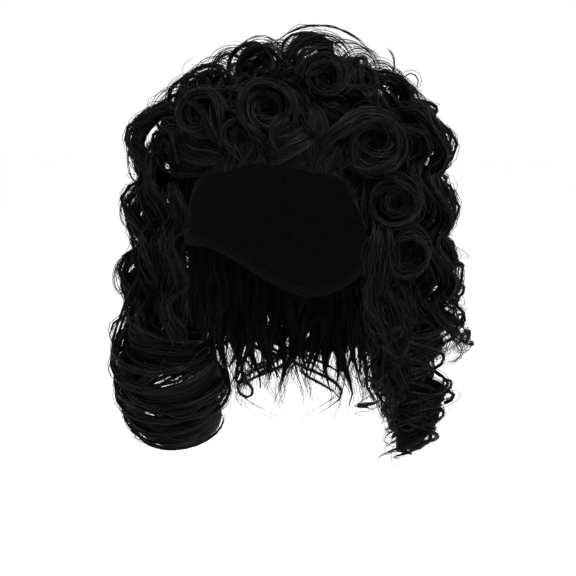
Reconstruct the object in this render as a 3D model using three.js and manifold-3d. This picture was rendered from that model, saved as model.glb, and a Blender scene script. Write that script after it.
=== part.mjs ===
// Long curly dress-up wig: a thin stretch cap, and five groups of curled locks sewn round it.
// Millimetres, +Z up. The wearer faces -Y, so +X is the wearer's left.
// The origin is the middle of the head, at the level of its greatest girth.
import * as THREE from "three";
import { mergeVertices } from "three/addons/utils/BufferGeometryUtils.js";
import Module from "manifold-3d";

const wasm = await Module();
wasm.setup();

// Head that the cap is stretched over: half axes of its dome, above and below the girth.
const HEAD = { halfBreadth: 74, halfLength: 92, crownRise: 92, napeDrop: 150 };
const CAP_WALL = 1.6;
const SEWN_GAP = 0.6; // between the cap's cloth and the hair on it
const PARTING = 1.2; // between neighbouring groups of hair
const BED_DEPTH = 12; // root layer of hair that the locks grow out of
const ROOT_DEPTH = 10; // how far above the cap a lock's own root starts, inside the bed

// Height of the cap's edge round the head: azimuth 0 is the forehead, 90 an ear, 180 the nape.
const CAP_EDGE = [
  { azimuth: 0, height: 42 },
  { azimuth: 40, height: 34 },
  { azimuth: 72, height: -18 },
  { azimuth: 105, height: -22 },
  { azimuth: 180, height: -62 },
];

// Groups of hair: the stretch of the cap that each is sewn to, in degrees round and up the head.
// hangFrom, hangTo: the stretch of it that hangs on below the cap, as an underlayer behind the locks.
const CROWN_FROM = 58;
const FRONT_HALF = 56;
const SIDE_HALF = 118;
const GROUPS = [
  { name: "front_curls", from: -FRONT_HALF, to: FRONT_HALF },
  { name: "left_locks", from: FRONT_HALF, to: SIDE_HALF, hangFrom: 74, hangTo: SIDE_HALF },
  { name: "right_locks", from: -SIDE_HALF, to: -FRONT_HALF, hangFrom: -SIDE_HALF, hangTo: -70 },
  { name: "crown_curls" },
  { name: "back_locks", from: SIDE_HALF, to: 360 - SIDE_HALF, hangFrom: SIDE_HALF, hangTo: 360 - SIDE_HALF },
];
const HANG = { topZ: 0, endZ: -112, depth: 6 };

// Rolled curls, seen end on. root: where the hair grows, in degrees. x, y, z: middle of the open face.
// faceAz, faceEl: the way that face looks. turns: clockwise if positive. width and thick: the ribbon of hair
// that is rolled up.
const ROLLS = [
  // Above the forehead
  { group: "front_curls", rootAz: 2, rootEl: 32, x: 6, y: -92, z: 80, faceAz: 8, faceEl: 12,
    radius: 19, turns: 1.5, width: 15, thick: 6 },
  { group: "front_curls", rootAz: -26, rootEl: 30, x: -48, y: -82, z: 76, faceAz: -10, faceEl: 10,
    radius: 16, turns: -1.5, width: 14, thick: 5 },
  { group: "front_curls", rootAz: 32, rootEl: 30, x: 77, y: -66, z: 54, faceAz: 22, faceEl: 6,
    radius: 21, turns: 1.5, width: 16, thick: 6 },
  { group: "front_curls", rootAz: -48, rootEl: 24, x: -78, y: -54, z: 46, faceAz: -40, faceEl: -8,
    radius: 16, turns: -1.4, width: 15, thick: 5 },
  // Over the crown
  { group: "crown_curls", rootAz: 20, rootEl: 60, x: 42, y: -60, z: 103, faceAz: 14, faceEl: 22,
    radius: 12, turns: 1.5, width: 14, thick: 5 },
  { group: "crown_curls", rootAz: 45, rootEl: 64, x: 62, y: -34, z: 100, faceAz: 30, faceEl: 20,
    radius: 12, turns: -1.5, width: 14, thick: 5 },
  { group: "crown_curls", rootAz: 20, rootEl: 76, x: 22, y: -24, z: 117, faceAz: 12, faceEl: 12,
    radius: 19, turns: 1.4, width: 17, thick: 5 },
  { group: "crown_curls", rootAz: -40, rootEl: 76, x: -22, y: -30, z: 111, faceAz: -8, faceEl: 16,
    radius: 17, turns: -1.4, width: 17, thick: 5 },
  { group: "crown_curls", rootAz: -30, rootEl: 68, x: -56, y: -32, z: 98, faceAz: -26, faceEl: 16,
    radius: 16, turns: 1.4, width: 16, thick: 5 },
  { group: "crown_curls", rootAz: -96, rootEl: 64, x: -80, y: -6, z: 84, faceAz: -44, faceEl: 12,
    radius: 15, turns: -1.4, width: 16, thick: 5 },
  { group: "crown_curls", rootAz: 96, rootEl: 64, x: 84, y: -10, z: 86, faceAz: 44, faceEl: 14,
    radius: 15, turns: 1.4, width: 16, thick: 5 },
  { group: "crown_curls", rootAz: 90, rootEl: 80, x: 58, y: 34, z: 100, faceAz: 110, faceEl: 26,
    radius: 16, turns: 1.4, width: 17, thick: 5 },
  { group: "crown_curls", rootAz: 270, rootEl: 80, x: -58, y: 34, z: 99, faceAz: 250, faceEl: 26,
    radius: 16, turns: -1.4, width: 17, thick: 5 },
  { group: "crown_curls", rootAz: 60, rootEl: 84, x: 16, y: 54, z: 108, faceAz: 160, faceEl: 30,
    radius: 17, turns: -1.4, width: 17, thick: 5 },
  { group: "crown_curls", rootAz: 250, rootEl: 76, x: -26, y: 64, z: 98, faceAz: 202, faceEl: 28,
    radius: 16, turns: 1.4, width: 17, thick: 5 },
  // Beside the face
  { group: "left_locks", rootAz: 62, rootEl: 18, x: 90, y: -57, z: 14, faceAz: 22, faceEl: 2,
    radius: 15, turns: 1.5, width: 15, thick: 5 },
  { group: "left_locks", rootAz: 66, rootEl: 4, x: 99, y: -51, z: -21, faceAz: 20, faceEl: 0,
    radius: 17, turns: -1.5, width: 15, thick: 5 },
];

// Locks combed up and aside from the forehead. az, el, out: degrees round and up the head and the distance
// from it, at the lock's root, middle and end.
const SWEEPS = [
  { group: "front_curls", az: [4, 16, 33], el: [30, 33, 41], out: [7, 13, 14], width: 22, thick: 7 },
  { group: "front_curls", az: [-25, -44, -62], el: [28, 30, 35], out: [7, 13, 15], width: 22, thick: 7 },
  { group: "front_curls", az: [-13, -17, -22], el: [31, 37, 46], out: [7, 13, 14], width: 18, thick: 7 },
  { group: "front_curls", az: [30, 29, 25], el: [30, 38, 54], out: [7, 13, 14], width: 18, thick: 7 },
];

// Hanging ringlets, sewn on in rows. from, to, count: the row's span round the head. rootEl: its height on
// the cap. topOut, endOut: the coil's distance from the head's side, at its top and its end. topZ, endZ:
// their heights. swing: degrees of azimuth that its end has moved round. topR, endR: its radius there.
// bulge: how much wider its middle is.
const RINGLETS = [
  { group: "left_locks", from: 104, to: 104, count: 1, rootEl: 44, topOut: 18, endOut: 38, topZ: 80,
    endZ: -116, swing: 0, topR: 12, endR: 16, bulge: 0, turns: -4, width: 18, thick: 6 },
  { group: "left_locks", from: 86, to: 86, count: 1, rootEl: -2, topOut: 24, endOut: 24, topZ: -76,
    endZ: -170, swing: -2, topR: 14, endR: 17, bulge: 0, turns: 2.25, width: 20, thick: 6 },
  { group: "right_locks", from: -105, to: -105, count: 1, rootEl: 44, topOut: 18, endOut: 34, topZ: 80,
    endZ: -140, swing: 0, topR: 12, endR: 16, bulge: 0, turns: -4.5, width: 18, thick: 6 },
  // The big barrel curl, wide above and narrow below, tipped towards the front
  { group: "right_locks", from: -72, to: -72, count: 1, rootEl: -4, topOut: 15, endOut: 6, topZ: -104,
    endZ: -150, swing: -22, topR: 27, endR: 16, bulge: 14, turns: -2, width: 24, thick: 8 },
  { group: "back_locks", from: 128, to: 232, count: 5, rootEl: 46, topOut: 20, endOut: 28, topZ: 80,
    endZ: -160, swing: 0, topR: 12, endR: 16, bulge: 0, turns: 4, width: 22, thick: 7 },
];

// Wavy locks that hang beside the face. rootAz, rootEl: where the hair grows. az, swing: where the lock hangs
// round the head, and how far its end has moved round. topOut, endOut, topZ, endZ: as for a ringlet. sway:
// degrees from side to side. bounce: how far it waves in and out. waves: how many waves it makes. phase:
// where the first one starts.
const WAVES = [
  // Beside the wearer's left cheek
  { group: "left_locks", rootAz: 62, az: 58, swing: 16, rootEl: 2, topOut: 9, endOut: 22, topZ: -32,
    endZ: -132, sway: 2, bounce: 3, waves: 1.6, phase: 0.1, width: 26, thick: 9 },
  { group: "left_locks", rootAz: 70, az: 72, swing: -4, rootEl: 0, topOut: 16, endOut: 15, topZ: -48,
    endZ: -152, sway: 3, bounce: 4, waves: 2.2, phase: 0.6, width: 22, thick: 9 },
  { group: "left_locks", rootAz: 88, az: 90, swing: 0, rootEl: 44, topOut: 31, endOut: 40, topZ: 70,
    endZ: -106, sway: 3, bounce: 6, waves: 3.8, phase: 0.61, width: 26, thick: 11 },
  // Beside the wearer's right cheek
  { group: "right_locks", rootAz: -65, az: -56, swing: -4, rootEl: 14, topOut: 10, endOut: 14, topZ: 14,
    endZ: -104, sway: 3, bounce: 4, waves: 2.6, phase: 0.2, width: 26, thick: 9 },
  { group: "right_locks", rootAz: -72, az: -68, swing: -2, rootEl: 38, topOut: 20, endOut: 26, topZ: 52,
    endZ: -104, sway: 3, bounce: 5, waves: 3, phase: 0.5, width: 24, thick: 9 },
  { group: "right_locks", rootAz: -84, az: -81, swing: 0, rootEl: 44, topOut: 27, endOut: 38, topZ: 70,
    endZ: -112, sway: 3, bounce: 6, waves: 3.5, phase: 0.73, width: 26, thick: 11 },
];

// How finely the cap and the locks are faceted.
const CAP_GRID = { from: 0, to: 360, top: 90, columns: 32, rows: 6 };
const BED_STEP = 20; // degrees
const ROLL_STEPS = 8; // in each turn
const RINGLET_STEPS = 5; // or more in a wide one, by its radius
const RINGLET_STEP_RADIUS = 4;
const SWEEP_STEPS = 4;
const WAVE_STEPS = 5; // in each wave
const LEAD_STEPS = 4; // from the root to the first turn
const LEAD_HANDLE = 0.4; // share of that reach over which it leaves the head and joins the turn
const LEAD_HANDLE_MAX = 26;
const LEAD_LIFT = 0.6; // how far it is lifted off the head as it leaves
const START_ANGLES = 36; // tried for the first turn
const FACET = 0.3; // faces that differ by less are joined
const TIP_TAPER = 0.45;
const ROLL_INNER = 0.4; // radius of a rolled curl's last turn, as a share of its first
const LOOSENESS = 7; // how unevenly a row's ringlets hang

const HAIR_COLOUR = 0x141211;
const CAP_COLOUR = 0x1b1a1a;

const UP = new THREE.Vector3(0, 0, 1);
const { degToRad, radToDeg, lerp, smoothstep } = THREE.MathUtils;

// A point on the head, or that far outside it.
function headPoint(azimuth, elevation, out) {
  const az = degToRad(azimuth);
  const el = degToRad(elevation);
  const rise = elevation >= 0 ? HEAD.crownRise : HEAD.napeDrop;
  return new THREE.Vector3(
    (HEAD.halfBreadth + out) * Math.cos(el) * Math.sin(az),
    -(HEAD.halfLength + out) * Math.cos(el) * Math.cos(az),
    (rise + out) * Math.sin(el),
  );
}

// A point beside the head at a given height, that far outside its girth.
function besidePoint(azimuth, out, height) {
  return headPoint(azimuth, 0, out).setZ(height);
}

function headNormal(azimuth, elevation) {
  return headPoint(azimuth, elevation, 1).sub(headPoint(azimuth, elevation, 0)).normalize();
}

// Unit vector from an azimuth and an elevation.
function direction(azimuth, elevation) {
  const az = degToRad(azimuth);
  const el = degToRad(elevation);
  return new THREE.Vector3(Math.cos(el) * Math.sin(az), -Math.cos(el) * Math.cos(az), Math.sin(el));
}

// Elevation of the cap's edge at an azimuth.
function edgeElevation(azimuth) {
  const turned = Math.abs(((azimuth + 540) % 360) - 180);
  const next = Math.max(1, CAP_EDGE.findIndex((row) => row.azimuth >= turned));
  const [a, b] = [CAP_EDGE[next - 1], CAP_EDGE[next]];
  const height = lerp(a.height, b.height, smoothstep(turned, a.azimuth, b.azimuth));
  const rise = height >= 0 ? HEAD.crownRise : HEAD.napeDrop;
  return radToDeg(Math.asin(height / rise));
}

// A closed solid from corner points and quads, with shared corners merged and empty triangles dropped.
function solidFrom(points, quads) {
  const flat = quads.flatMap(([a, b, c, d]) => [a, b, c, a, c, d]).flatMap((i) => points[i].toArray());
  const loose = new THREE.BufferGeometry();
  loose.setAttribute("position", new THREE.Float32BufferAttribute(flat, 3));
  const merged = mergeVertices(loose, 1e-3);
  const corners = merged.index.array;
  const triangles = [];
  for (let i = 0; i < corners.length; i += 3) {
    const [a, b, c] = corners.slice(i, i + 3);
    if (a !== b && b !== c && c !== a) triangles.push(a, b, c);
  }
  return new wasm.Manifold(new wasm.Mesh({
    numProp: 3,
    vertProperties: new Float32Array(merged.attributes.position.array),
    triVerts: new Uint32Array(triangles),
  }));
}

// A wall round the head, between two distances from it. place gives the point at an azimuth, a share of
// its height and a distance.
function wall({ from, to, inner, outer, columns, rows, place, closedTop }) {
  const points = [];
  const quads = [];
  const index = (layer, i, j) => (layer * (columns + 1) + i) * (rows + 1) + j;
  for (const out of [inner, outer]) {
    for (let i = 0; i <= columns; i++) {
      const azimuth = lerp(from, to, i / columns);
      for (let j = 0; j <= rows; j++) {
        points.push(place(azimuth, j / rows, out));
      }
    }
  }
  for (let i = 0; i < columns; i++) {
    for (let j = 0; j < rows; j++) {
      quads.push([index(1, i, j), index(1, i + 1, j), index(1, i + 1, j + 1), index(1, i, j + 1)]);
      quads.push([index(0, i, j), index(0, i, j + 1), index(0, i + 1, j + 1), index(0, i + 1, j)]);
    }
    quads.push([index(0, i, 0), index(0, i + 1, 0), index(1, i + 1, 0), index(1, i, 0)]);
    if (closedTop) continue;
    quads.push([index(1, i, rows), index(1, i + 1, rows), index(0, i + 1, rows), index(0, i, rows)]);
  }
  if (to - from < 360) {
    for (let j = 0; j < rows; j++) {
      quads.push([index(0, 0, j), index(1, 0, j), index(1, 0, j + 1), index(0, 0, j + 1)]);
      const last = (layer, row) => index(layer, columns, row);
      quads.push([last(0, j), last(0, j + 1), last(1, j + 1), last(1, j)]);
    }
  }
  return solidFrom(points, quads);
}

// A wall over a patch of the head, up to an elevation. bottom gives its lower edge's elevation.
function headWall({ bottom, top, ...span }) {
  const place = (azimuth, share, out) => headPoint(azimuth, lerp(bottom(azimuth), top, share), out);
  return wall({ ...span, place, closedTop: top === 90 });
}

// Root layer of one group of hair, and what hangs on from it below the cap. It reaches into the head's own
// space, which is cut away from it later.
function hairBed(group, grow) {
  const layer = { inner: -CAP_WALL, outer: CAP_WALL + BED_DEPTH + grow };
  const part = radToDeg((PARTING / 2 - grow) / HEAD.halfBreadth);
  if (group.from === undefined) {
    const bottom = () => CROWN_FROM + part;
    return [headWall({ ...layer, from: 0, to: 360, bottom, top: 90, columns: 360 / BED_STEP, rows: 2 })];
  }
  const columns = Math.round((group.to - group.from) / BED_STEP);
  const span = { from: group.from + part, to: group.to - part, columns };
  const bed = headWall({ ...layer, ...span, bottom: edgeElevation, top: CROWN_FROM - part, rows: 3 });
  if (group.hangFrom === undefined) return [bed];
  const hang = wall({
    from: group.hangFrom + part,
    to: group.hangTo - part,
    inner: CAP_WALL + SEWN_GAP,
    outer: CAP_WALL + HANG.depth + grow,
    columns,
    rows: 1,
    place: (azimuth, share, out) => besidePoint(azimuth, out, lerp(HANG.endZ - grow, HANG.topZ, share)),
  });
  return [bed, hang];
}

// A small, steady variation between -1 and 1, so that no two ringlets of a row are alike.
function vary(i, k) {
  return Math.sin(2.4 * i + 1.7 * k);
}

function rollLock(row) {
  const facing = direction(row.faceAz, row.faceEl);
  const face = new THREE.Vector3(row.x, row.y, row.z).addScaledVector(facing, -row.width / 2);
  return {
    ...row,
    stations: coiledStations,
    rolled: true,
    axisFrom: face,
    axisTo: face.clone().addScaledVector(facing, -row.width / 2),
    zero: UP,
    radiusFrom: row.radius,
    radiusTo: row.radius * ROLL_INNER,
    bulge: 0,
    stepsPerTurn: ROLL_STEPS,
  };
}

function sweepLock(row) {
  return { ...row, stations: sweepStations, stepsPerTurn: SWEEP_STEPS };
}

function waveLock(row) {
  return { ...row, stations: waveStations, stepsPerTurn: WAVE_STEPS };
}

// The ringlets of one row, spread evenly and then varied a little.
function ringletLocks(row, rowIndex) {
  return Array.from({ length: row.count }, (_, i) => {
    const share = row.count > 1 ? i / (row.count - 1) : 0;
    const azimuth = lerp(row.from, row.to, share);
    const seed = rowIndex * 7 + i;
    const loose = row.count > 1 ? LOOSENESS : 0;
    const topOut = row.topOut + 0.4 * loose * vary(seed, 2);
    const topZ = row.topZ + loose * vary(seed, 3);
    const endOut = row.endOut + 0.7 * loose * vary(seed, 4);
    const endZ = row.endZ + loose * (vary(seed, 1) - 1);
    return {
      ...row,
      stations: coiledStations,
      rootAz: azimuth,
      axisFrom: besidePoint(azimuth, topOut, topZ),
      axisTo: besidePoint(azimuth + row.swing, endOut, endZ),
      zero: direction(azimuth, 0),
      radiusFrom: row.topR,
      radiusTo: row.endR,
      stepsPerTurn: Math.max(RINGLET_STEPS, Math.round((row.endR + row.bulge) / RINGLET_STEP_RADIUS)),
      turns: row.turns * (i % 2 ? -1 : 1),
    };
  });
}

// Stations of a lock that is combed over the head, along a curve through its three places.
function sweepStations(lock) {
  const along = ([from, middle, to], t) => {
    const bent = 2 * middle - (from + to) / 2;
    return (1 - t) ** 2 * from + 2 * t * (1 - t) * bent + t ** 2 * to;
  };
  const place = (t) => headPoint(along(lock.az, t), along(lock.el, t), along(lock.out, t));
  return Array.from({ length: SWEEP_STEPS + 1 }, (_, k) => {
    const t = k / SWEEP_STEPS;
    const tangent = place(t + 1e-3).sub(place(t - 1e-3)).normalize();
    const normal = headNormal(along(lock.az, t), along(lock.el, t));
    return { place: place(t), tangent, wide: normal.cross(tangent).normalize() };
  });
}

// Stations of a lock that hangs in waves, flat towards the head, with the hair from its root before them.
function waveStations(lock) {
  const wave = (t) => 2 * Math.PI * (lock.waves * t + lock.phase);
  const azimuth = (t) => lock.az + lock.swing * t + lock.sway * Math.sin(wave(t));
  const out = (t) => lerp(lock.topOut, lock.endOut, t) + lock.bounce * Math.cos(wave(t));
  const place = (t) => besidePoint(azimuth(t), out(t), lerp(lock.topZ, lock.endZ, t));
  const tangent = (t) => place(t + 1e-3).sub(place(t - 1e-3)).normalize();
  const aside = (t) => direction(azimuth(t) + 90, 0);
  const steps = Math.round(lock.waves * WAVE_STEPS);
  const hanging = Array.from({ length: steps + 1 }, (_, k) => {
    const t = k / steps;
    return { place: place(t), tangent: tangent(t), wide: squareTo(aside(t), tangent(t)) };
  });
  const root = headPoint(lock.rootAz, lock.rootEl, ROOT_DEPTH);
  return [...leadStations(lock, root, { back: aside(0), place, tangent }), ...hanging];
}

// How far outside the head a point is.
function outOf(place) {
  const rise = place.z >= 0 ? HEAD.crownRise : HEAD.napeDrop;
  const scaled = Math.hypot(place.x / HEAD.halfBreadth, place.y / HEAD.halfLength, place.z / rise);
  return place.length() * (1 - 1 / scaled);
}

function leastBy(list, measure) {
  return list.reduce((best, item) => (measure(item) < measure(best) ? item : best));
}

// The part of a vector that is square to a unit vector, made a unit vector.
function squareTo(vector, unit) {
  return vector.clone().addScaledVector(unit, -vector.dot(unit)).normalize();
}

// The coil of a lock, begun at an angle: place and tangent at a share of its length.
function coilOf(lock, startAngle) {
  const axis = lock.axisTo.clone().sub(lock.axisFrom);
  const back = axis.clone().normalize().negate();
  const e1 = squareTo(lock.zero, back);
  const e2 = e1.clone().cross(back);
  const place = (t) => {
    const angle = startAngle + 2 * Math.PI * lock.turns * t;
    const radius = lerp(lock.radiusFrom, lock.radiusTo, t) + lock.bulge * Math.sin(Math.PI * t);
    return lock.axisFrom.clone().addScaledVector(axis, t)
      .addScaledVector(e1, radius * Math.cos(angle)).addScaledVector(e2, radius * Math.sin(angle));
  };
  const tangent = (t) => place(t + 1e-4).sub(place(t - 1e-4)).normalize();
  return { back, place, tangent };
}

// Stations along a lock, from its root to its tip: place, tangent and the ribbon's wide direction. A roll
// that dips into the root layer begins there. Any other coil begins where hair from its root bends least.
function coiledStations(lock) {
  const starts = Array.from({ length: START_ANGLES }, (_, i) => (2 * Math.PI * i) / START_ANGLES);
  const coils = starts.map((angle) => coilOf(lock, angle));
  const deepest = leastBy(coils, (coil) => outOf(coil.place(0)));
  if (lock.rolled && outOf(deepest.place(0)) < ROOT_DEPTH) return coilStations(lock, deepest);
  const root = headPoint(lock.rootAz, lock.rootEl, ROOT_DEPTH);
  const coil = leastBy(coils, (one) => one.tangent(0).angleTo(one.place(0).sub(root)));
  return [...leadStations(lock, root, coil), ...coilStations(lock, coil)];
}

function coilStations(lock, coil) {
  const steps = Math.round(Math.abs(lock.turns) * lock.stepsPerTurn);
  return Array.from({ length: steps + 1 }, (_, k) => {
    const tangent = coil.tangent(k / steps);
    return { place: coil.place(k / steps), tangent, wide: squareTo(coil.back, tangent) };
  });
}

// Hair from the root to the coil or wave. It leaves the head flat and turns into the lock's own ribbon.
function leadStations(lock, root, coil) {
  const start = coil.place(0);
  const ahead = start.clone().sub(root);
  const handle = Math.min(LEAD_HANDLE_MAX, ahead.length() * LEAD_HANDLE);
  const normal = headNormal(lock.rootAz, lock.rootEl);
  const leaving = ahead.normalize().addScaledVector(normal, LEAD_LIFT).normalize();
  const lead = new THREE.CubicBezierCurve3(
    root,
    root.clone().addScaledVector(leaving, handle),
    start.clone().addScaledVector(coil.tangent(0), -handle),
    start,
  );
  const wideEnd = squareTo(coil.back, coil.tangent(0));
  const wideRoot = normal.clone().cross(leaving).normalize();
  wideRoot.multiplyScalar(Math.sign(wideRoot.dot(wideEnd)) || 1);
  return Array.from({ length: LEAD_STEPS }, (_, k) => {
    const share = k / LEAD_STEPS;
    const tangent = lead.getTangent(share);
    const wide = squareTo(wideRoot.clone().lerp(wideEnd, share), tangent);
    return { place: lead.getPoint(share), tangent, wide };
  });
}

const RIBBON_CORNERS = [[1, 1], [-1, 1], [-1, -1], [1, -1]];

// Ring of corners round one station of a lock.
function ribbonRing(lock, station, taper, grow) {
  const thickWay = station.tangent.clone().cross(station.wide);
  const halfWidth = (lock.width / 2) * taper + grow;
  const halfThick = (lock.thick / 2) * taper + grow;
  return RIBBON_CORNERS.map(([w, t]) => station.place.clone()
    .addScaledVector(station.wide, w * halfWidth).addScaledVector(thickWay, t * halfThick));
}

// A closed solid through rings of corners. Opposite faces are split alike, so a twist keeps its thickness.
function loft(rings) {
  const sides = rings[0].length;
  const quads = [];
  const at = (ring, i) => ring * sides + (i % sides);
  for (let r = 0; r + 1 < rings.length; r++) {
    for (let i = 0; i < sides; i++) {
      const [a, b, c, d] = [at(r, i), at(r, i + 1), at(r + 1, i + 1), at(r + 1, i)];
      quads.push(i < sides / 2 ? [a, b, c, d] : [b, c, d, a]);
    }
  }
  const last = rings.length - 1;
  for (let i = 1; i + 1 < sides; i++) {
    quads.push([at(0, 0), at(0, i + 1), at(0, i), at(0, i)]);
    quads.push([at(last, 0), at(last, i), at(last, i + 1), at(last, i + 1)]);
  }
  return solidFrom(rings.flat(), quads);
}

// One lock of hair as a tapering ribbon, thicker all round by grow.
function lockSolid(lock, grow) {
  const stations = lock.stations(lock);
  const last = stations.length - 1;
  stations[0].place.addScaledVector(stations[0].tangent, -grow);
  stations[last].place.addScaledVector(stations[last].tangent, grow);
  return loft(stations.map((station, k) => {
    const taper = lerp(1, TIP_TAPER, smoothstep(k, last - lock.stepsPerTurn / 2, last));
    return ribbonRing(lock, station, taper, grow);
  }));
}

const LOCKS = [
  ...ROLLS.map(rollLock),
  ...SWEEPS.map(sweepLock),
  ...RINGLETS.flatMap(ringletLocks),
  ...WAVES.map(waveLock),
];

// Everything in one group of hair, joined into one solid.
function groupSolid(group, grow) {
  const locks = LOCKS.filter((lock) => lock.group === group.name);
  return wasm.Manifold.union([...hairBed(group, grow), ...locks.map((lock) => lockSolid(lock, grow))]);
}

// Space kept for the cap and the head in it, faceted as the cap is.
function headSpace() {
  const bottom = (azimuth) => edgeElevation(azimuth) - 1;
  return headWall({ ...CAP_GRID, bottom, inner: -HEAD.halfBreadth / 2, outer: CAP_WALL + SEWN_GAP });
}

// The one body that is left when crumbs and closed pockets are dropped and faces finer than FACET are joined.
function largestBody(solid) {
  return solid.simplify(FACET).decompose().sort((a, b) => b.volume() - a.volume())[0];
}

function meshOf(solid, name, material) {
  const made = solid.getMesh();
  const geometry = new THREE.BufferGeometry();
  geometry.setAttribute("position", new THREE.BufferAttribute(made.vertProperties, made.numProp));
  geometry.setIndex(new THREE.BufferAttribute(made.triVerts, 1));
  geometry.computeVertexNormals();
  const mesh = new THREE.Mesh(geometry, material);
  mesh.name = name;
  return mesh;
}

const hair = new THREE.MeshStandardMaterial({ color: HAIR_COLOUR, roughness: 0.42, metalness: 0 });
const cloth = new THREE.MeshStandardMaterial({ color: CAP_COLOUR, roughness: 0.9, metalness: 0 });

const wig = new THREE.Group();
const cap = headWall({ ...CAP_GRID, bottom: edgeElevation, inner: 0, outer: CAP_WALL });
wig.add(meshOf(cap, "wig_cap", cloth));

// Each group gives way to those before it, so that neighbours keep a parting between them.
let taken = headSpace();
for (const group of GROUPS) {
  const free = groupSolid(group, 0).subtract(taken);
  wig.add(meshOf(largestBody(free), group.name, hair));
  taken = taken.add(groupSolid(group, PARTING));
}

export default wig;
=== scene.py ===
"""Long curly black dress-up wig: strands of hair on the CAD's own locks, on a plain cap.

Sizes are in millimetres and degrees, and are turned into metres as each mesh is made. +Z is up and the
wearer faces -Y. The origin is the middle of the head, at the level of its greatest girth.
"""
import math

import bpy
import numpy as np
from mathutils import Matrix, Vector


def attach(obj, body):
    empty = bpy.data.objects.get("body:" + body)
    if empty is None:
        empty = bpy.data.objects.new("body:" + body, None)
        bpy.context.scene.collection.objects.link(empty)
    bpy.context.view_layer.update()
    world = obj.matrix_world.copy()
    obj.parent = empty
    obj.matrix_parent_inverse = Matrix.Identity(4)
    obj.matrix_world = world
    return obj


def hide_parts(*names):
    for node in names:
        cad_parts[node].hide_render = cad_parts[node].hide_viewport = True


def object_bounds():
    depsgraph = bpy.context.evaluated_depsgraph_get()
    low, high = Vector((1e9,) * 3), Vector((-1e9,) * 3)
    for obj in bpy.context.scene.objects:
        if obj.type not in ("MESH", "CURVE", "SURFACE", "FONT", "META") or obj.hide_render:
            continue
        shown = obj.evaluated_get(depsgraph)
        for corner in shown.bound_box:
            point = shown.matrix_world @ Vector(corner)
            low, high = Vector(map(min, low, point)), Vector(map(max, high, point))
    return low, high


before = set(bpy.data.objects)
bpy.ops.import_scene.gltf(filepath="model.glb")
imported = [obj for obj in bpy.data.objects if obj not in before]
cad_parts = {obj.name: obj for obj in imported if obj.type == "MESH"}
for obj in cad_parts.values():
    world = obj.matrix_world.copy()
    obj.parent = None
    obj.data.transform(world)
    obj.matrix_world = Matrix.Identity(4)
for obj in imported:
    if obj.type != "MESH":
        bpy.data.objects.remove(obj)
CAD_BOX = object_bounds()

MM = 0.001
SEED = 7512
CAMERA_AZ, CAMERA_EL, CAMERA_DISTANCE = 12.0, 3.0, 2.0

# Head, cap and root layer, as in the CAD.
HALF_BREADTH, HALF_LENGTH, CROWN_RISE, NAPE_DROP = 74.0, 92.0, 92.0, 150.0
CAP_WALL = 1.6
HEAD_CLEAR = 2.2  # least distance of hair from the head
ROOT_DEPTH = 10.0
CROWN_FROM = 58.0
HAIRLINE_OVERHANG = 1.2  # degrees
FRONT_PARTING = -14.0  # the root layer is combed aside from this azimuth
PAINTED_SHADE = 1  # material of the hair beneath, darker than the strands as painted shade
FRONT, LEFT, RIGHT, CROWN, BACK = "front_curls", "left_locks", "right_locks", "crown_curls", "back_locks"
CAP_EDGE = (  # azimuth, height
    (0, 42),
    (40, 34),
    (72, -18),
    (105, -22),
    (180, -62),
)

# Rolled curls, seen end on, as in the CAD.
ROLL_COLUMNS = "root_az root_el x y z face_az face_el radius turns width thick".split()
ROLLS = {
    FRONT: (
        (2, 32, 6, -92, 80, 8, 12, 19, 1.5, 15, 6),
        (-26, 30, -48, -82, 76, -10, 10, 16, -1.5, 14, 5),
        (32, 30, 77, -66, 54, 22, 6, 21, 1.5, 16, 6),
        (-48, 24, -78, -54, 46, -40, -8, 16, -1.4, 15, 5),
    ),
    CROWN: (
        (20, 60, 42, -60, 103, 14, 22, 12, 1.5, 14, 5),
        (45, 64, 62, -34, 100, 30, 20, 12, -1.5, 14, 5),
        (20, 76, 22, -24, 117, 12, 12, 19, 1.4, 17, 5),
        (-40, 76, -22, -30, 111, -8, 16, 17, -1.4, 17, 5),
        (-30, 68, -56, -32, 98, -26, 16, 16, 1.4, 16, 5),
        (-96, 64, -80, -6, 84, -44, 12, 15, -1.4, 16, 5),
        (96, 64, 84, -10, 86, 44, 14, 15, 1.4, 16, 5),
        (90, 80, 58, 34, 100, 110, 26, 16, 1.4, 17, 5),
        (270, 80, -58, 34, 99, 250, 26, 16, -1.4, 17, 5),
        (60, 84, 16, 54, 108, 160, 30, 17, -1.4, 17, 5),
        (250, 76, -26, 64, 98, 202, 28, 16, 1.4, 17, 5),
    ),
    LEFT: (
        (62, 18, 90, -57, 14, 22, 2, 15, 1.5, 15, 5),
        (66, 4, 99, -51, -21, 20, 0, 17, -1.5, 15, 5),
    ),
}
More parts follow.
